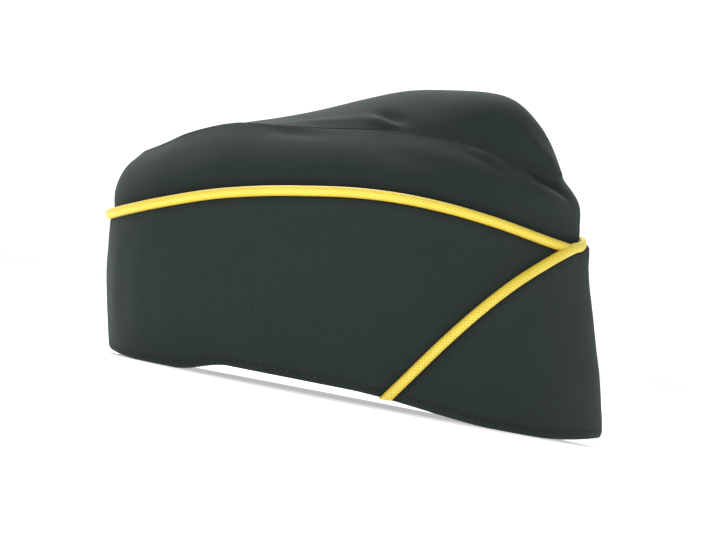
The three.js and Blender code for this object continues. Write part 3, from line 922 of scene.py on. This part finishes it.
class Shader:
    """One material's nodes."""

    def __init__(self, name):
        self.material = bpy.data.materials.new(name)
        self.material.use_nodes = True
        self.tree = self.material.node_tree
        self.tree.nodes.clear()

    def node(self, kind, settings=None, inputs=None, output=0):
        """A node with these settings and inputs. Returns one of its outputs."""
        made = self.tree.nodes.new("ShaderNode" + kind)
        for name, value in (settings or {}).items():
            setattr(made, name, value)
        for name, value in (inputs or {}).items():
            if isinstance(value, Wire):
                self.tree.links.new(value.socket, made.inputs[name])
            else:
                made.inputs[name].default_value = value
        return Wire(self, made.outputs[output]) if made.outputs else made

    def maths(self, operation, *values):
        return self.node("Math", {"operation": operation}, dict(enumerate(values)))

    def noise(self, vector, scale, detail=2.0, roughness=0.5):
        """Noise from 0 to 1, with its middle at a half."""
        inputs = {"Vector": vector, "Scale": scale, "Detail": detail, "Roughness": roughness}
        return self.node("TexNoise", {}, inputs, "Fac")

    def colours(self, factor, low, high):
        """A colour between two, by a factor."""
        made = self.tree.nodes.new("ShaderNodeMix")
        made.data_type = "RGBA"
        sockets = {socket.identifier: socket for socket in made.inputs}
        self.tree.links.new(factor.socket, sockets["Factor_Float"])
        for value, socket in ((low, sockets["A_Color"]), (high, sockets["B_Color"])):
            if isinstance(value, Wire):
                self.tree.links.new(value.socket, socket)
            else:
                socket.default_value = (*value, 1)
        result = next(s for s in made.outputs if s.identifier == "Result_Color")
        return Wire(self, result)

    def bump(self, height, distance, strength=1.0):
        inputs = {"Height": height, "Distance": distance, "Strength": strength}
        return self.node("Bump", {}, inputs)

    def finish(self, inputs):
        surface_out = self.node("BsdfPrincipled", {}, inputs)
        self.node("OutputMaterial", {}, {"Surface": surface_out})
        return self.material


def cloth_material():
    """Gabardine: fine steep ribs of the twill, broken by the threads that cross them.

    The sheet's own map gives tenths of a metre along and up the cloth, and its tone how much
    painted shade darkens the colour in the seams, the stitching and the deepest creases.
    """
    shader = Shader("dark_green_grey_gabardine")
    uv = shader.node("UVMap", {"uv_map": "Cloth"})
    parts = shader.node("SeparateXYZ", {}, {"Vector": uv})
    across, up = parts, Wire(shader, parts.socket.node.outputs[1])
    place = shader.node("TexCoord", {}, {}, "Object")
    drift = shader.noise(uv, 9.0, 2.0) - 0.5
    rib_pitch, thread_pitch, slope = 0.0078, 0.0062, 0.45
    ribs = (across - up * slope + drift * 0.004) / rib_pitch
    ribs = shader.maths("SINE", ribs * (2 * PI)) * 0.5 + 0.5
    threads = shader.maths("SINE", (up + drift * 0.004) / thread_pitch * (2 * PI)) * 0.5 + 0.5
    fibres = shader.noise(place, 2600.0, 3.0, 0.6)
    weave = ribs * 0.7 + threads * ribs * 0.3
    mottle = shader.noise(place, 55.0, 3.0, 0.55)
    slub = shader.noise(place, 420.0, 2.0, 0.5)
    tone = weave * 0.42 + fibres * 0.3 + mottle * 0.18 + slub * 0.1
    # painted shade, from the sheet's tone: darker beside the cords, along the seams and stitching,
    # and in deep creases
    seam = shader.node("Attribute", {"attribute_name": "tone"}, {}, "Fac")
    base = shader.colours(tone, CLOTH_SHADE, CLOTH_LIGHT)
    base = shader.colours(seam * 0.9, base, CLOTH_SEAM_PAINTED_SHADE)
    height = weave * 0.75 + fibres * 0.35
    return shader.finish(
        {
            "Base Color": base,
            "Roughness": 0.93 - tone * 0.16,
            "Specular IOR Level": 0.16,
            "Sheen Weight": 0.08,
            "Sheen Roughness": 0.55,
            "Sheen Tint": (0.7, 0.8, 0.85, 1),
            "Normal": shader.bump(height, 0.00012, 0.55),
        }
    )


def cord_material():
    """Golden yellow rayon braid, darker and more orange in its grooves and beside the cloth by
    painted shade, and lighter along its outer line by a painted highlight.
    """
    shader = Shader("golden_yellow_braid")
    place = shader.node("TexCoord", {}, {}, "Object")
    # the tone attribute: the braid's painted shade and highlight
    relief = shader.node("Attribute", {"attribute_name": "tone"}, {}, "Fac")
    fibres = shader.noise(place, 2200.0, 2.0, 0.6)
    soft = shader.noise(place, 60.0, 2.0, 0.5)
    tone = relief * 1.05 + (fibres - 0.5) * 0.3 + (soft - 0.5) * 0.2
    tone = shader.node("Clamp", {}, {"Value": tone})
    return shader.finish(
        {
            "Base Color": shader.colours(tone, CORD_GROOVE_PAINTED_SHADE, CORD_CREST_PAINTED_HIGHLIGHT),
            "Roughness": 0.6 - relief * 0.16,
            "Specular IOR Level": 0.4,
            "Sheen Weight": 0.08,
            "Sheen Roughness": 0.4,
            "Sheen Tint": (1.0, 0.85, 0.45, 1),
            "Normal": shader.bump(fibres, 0.00008, 0.5),
        }
    )


def thread_material():
    """Sewing thread that matches the cloth, with a little more shine."""
    shader = Shader("green_grey_thread")
    place = shader.node("TexCoord", {}, {}, "Object")
    twist = shader.noise(place, 3200.0, 2.0, 0.5)
    return shader.finish(
        {
            "Base Color": shader.colours(twist, THREAD_SHADE, THREAD_LIGHT),
            "Roughness": 0.75 - twist * 0.2,
            "Specular IOR Level": 0.35,
            "Normal": shader.bump(twist, 0.00005, 0.5),
        }
    )


CLOTH = cloth_material()
CORD = cord_material()
THREAD = thread_material()

crown_side("crown_left", 1, 21)
crown_side("crown_right", -1, 23)
crown_top()
curtain_right()
curtain_left()
cords()
left_stop = slant_angle(LEFT_Z, STITCH_HEIGHT + 3.4) - 0.01
stitches("rim_stitches_left", 0.03, left_stop, wrap_climb)
stitches("rim_stitches_right", 2 * PI - 0.03, LEFT_T[-1] + 0.06, no_climb)


# The floor, the lights and the camera


def make_stage():
    """A pale floor that curves up into a wall all round, well away from the cap.

    It is a profile turned about the upright axis, in metres. Far from the cap it glows a
    little more, which keeps the background even.
    """
    shader = Shader("pale_floor")
    place = shader.node("TexCoord", {}, {}, "Object")
    cloudy = shader.noise(place, 1.5, 2.0)
    tone = shader.colours(cloudy, (0.86, 0.86, 0.86), (0.88, 0.88, 0.88))
    away = shader.node("VectorMath", {"operation": "LENGTH"}, {0: place}, "Value")
    ramp = {"Value": away, "From Min": 3.0, "From Max": 6.5}
    glow = shader.colours(shader.node("MapRange", {}, ramp), (0.48,) * 3, (0.6,) * 3)
    material = shader.finish(
        {"Base Color": tone, "Roughness": 0.9, "Emission Color": glow, "Emission Strength": 1.0}
    )
    turns = 96
    angle = np.linspace(0, 2 * PI, turns, endpoint=False)
    bend = np.linspace(0, PI / 2, 17)
    floor, curve, wall = 7.0, 3.0, 6.0
    radius = np.r_[0.5, 2.0, 4.0, floor + curve * np.sin(bend), floor + curve]
    height = np.r_[0, 0, 0, curve * (1 - np.cos(bend)), wall]
    points = np.stack(
        [
            radius[:, None] * np.cos(angle),
            radius[:, None] * np.sin(angle),
            np.repeat(height[:, None], len(angle), axis=1),
        ],
        axis=-1,
    )
    index = np.arange(points[..., 0].size).reshape(points.shape[:2])
    index = np.concatenate([index, index[:, :1]], axis=1)
    quads = grid_quads(index)[:, ::-1]
    centre = np.full(turns, index[-1, -2] + 1)
    middle = np.stack([centre, index[0, :-1], index[0, 1:]], axis=-1)
    mesh = bpy.data.meshes.new("studio_floor")
    places = np.concatenate([points.reshape(-1, 3), [[0, 0, 0]]])
    mesh.from_pydata(places.tolist(), [], quads.tolist() + middle.tolist())
    mesh.polygons.foreach_set("use_smooth", np.ones(len(mesh.polygons), dtype=bool))
    mesh.materials.append(material)
    made = bpy.data.objects.new("studio_floor", mesh)
    bpy.context.scene.collection.objects.link(made)


def dark_card(x):
    """A dark card beside the cap, out of sight, which keeps its two ends from glaring."""
    shader = Shader("dark_card")
    material = shader.finish({"Base Color": (0.02, 0.02, 0.02, 1), "Roughness": 0.9})
    mesh = bpy.data.meshes.new("dark_card")
    corners = [(x, -0.35, 0.01), (x, 0.25, 0.01), (x, 0.25, 0.4), (x, -0.35, 0.4)]
    mesh.from_pydata(corners, [], [(0, 1, 2, 3)])
    mesh.materials.append(material)
    made = bpy.data.objects.new("dark_card", mesh)
    made.visible_camera = False
    made.visible_shadow = False
    bpy.context.scene.collection.objects.link(made)


def soft_light(name, place, aim, size, power):
    """A rectangular lamp in metres and watts, aimed at a point."""
    lamp = bpy.data.lights.new(name, "AREA")
    lamp.shape = "RECTANGLE"
    lamp.size, lamp.size_y = size
    lamp.energy = power
    made = bpy.data.objects.new(name, lamp)
    made.location = place
    made.rotation_euler = (Vector(aim) - Vector(place)).to_track_quat("-Z", "Y").to_euler()
    bpy.context.scene.collection.objects.link(made)


def set_camera():
    """A long lens from the wearer's right, just above level, rolled as the photo is."""
    elevation, roll = math.radians(0.3), math.radians(11)
    target, distance, width = Vector((-0.00205, 0, 0.0581)), 5.0, 0.324
    level_right = Vector((1, 0, 0))
    level_up = Vector((0, math.sin(elevation), math.cos(elevation)))
    ahead = Vector((0, math.cos(elevation), -math.sin(elevation)))
    right = level_right * math.cos(roll) + level_up * math.sin(roll)
    up = level_up * math.cos(roll) - level_right * math.sin(roll)
    camera = bpy.data.cameras.new("camera")
    camera.sensor_width = 36
    camera.lens = camera.sensor_width * distance / width
    made = bpy.data.objects.new("camera", camera)
    turn = Matrix((right, up, -ahead)).transposed().to_4x4()
    made.matrix_world = Matrix.Translation(target - ahead * distance) @ turn
    bpy.context.scene.collection.objects.link(made)
    bpy.context.scene.camera = made


def set_world(strength):
    """An even white light from all round."""
    world = bpy.data.worlds.new("white_room")
    world.use_nodes = True
    background = world.node_tree.nodes["Background"]
    background.inputs["Color"].default_value = (1, 1, 1, 1)
    background.inputs["Strength"].default_value = strength
    bpy.context.scene.world = world


make_stage()
set_world(0.2)
soft_light("front_light", (-0.5, -2.2, 0.9), (0, 0, 0.06), (1.2, 0.9), 12)
soft_light("back_light", (-0.3, 1.1, 1.6), (0, 0, 0.06), (1.2, 0.6), 46)
for x in (-0.55, 0.6):
    dark_card(x)
set_camera()
bpy.context.scene.view_settings.view_transform = "Standard"
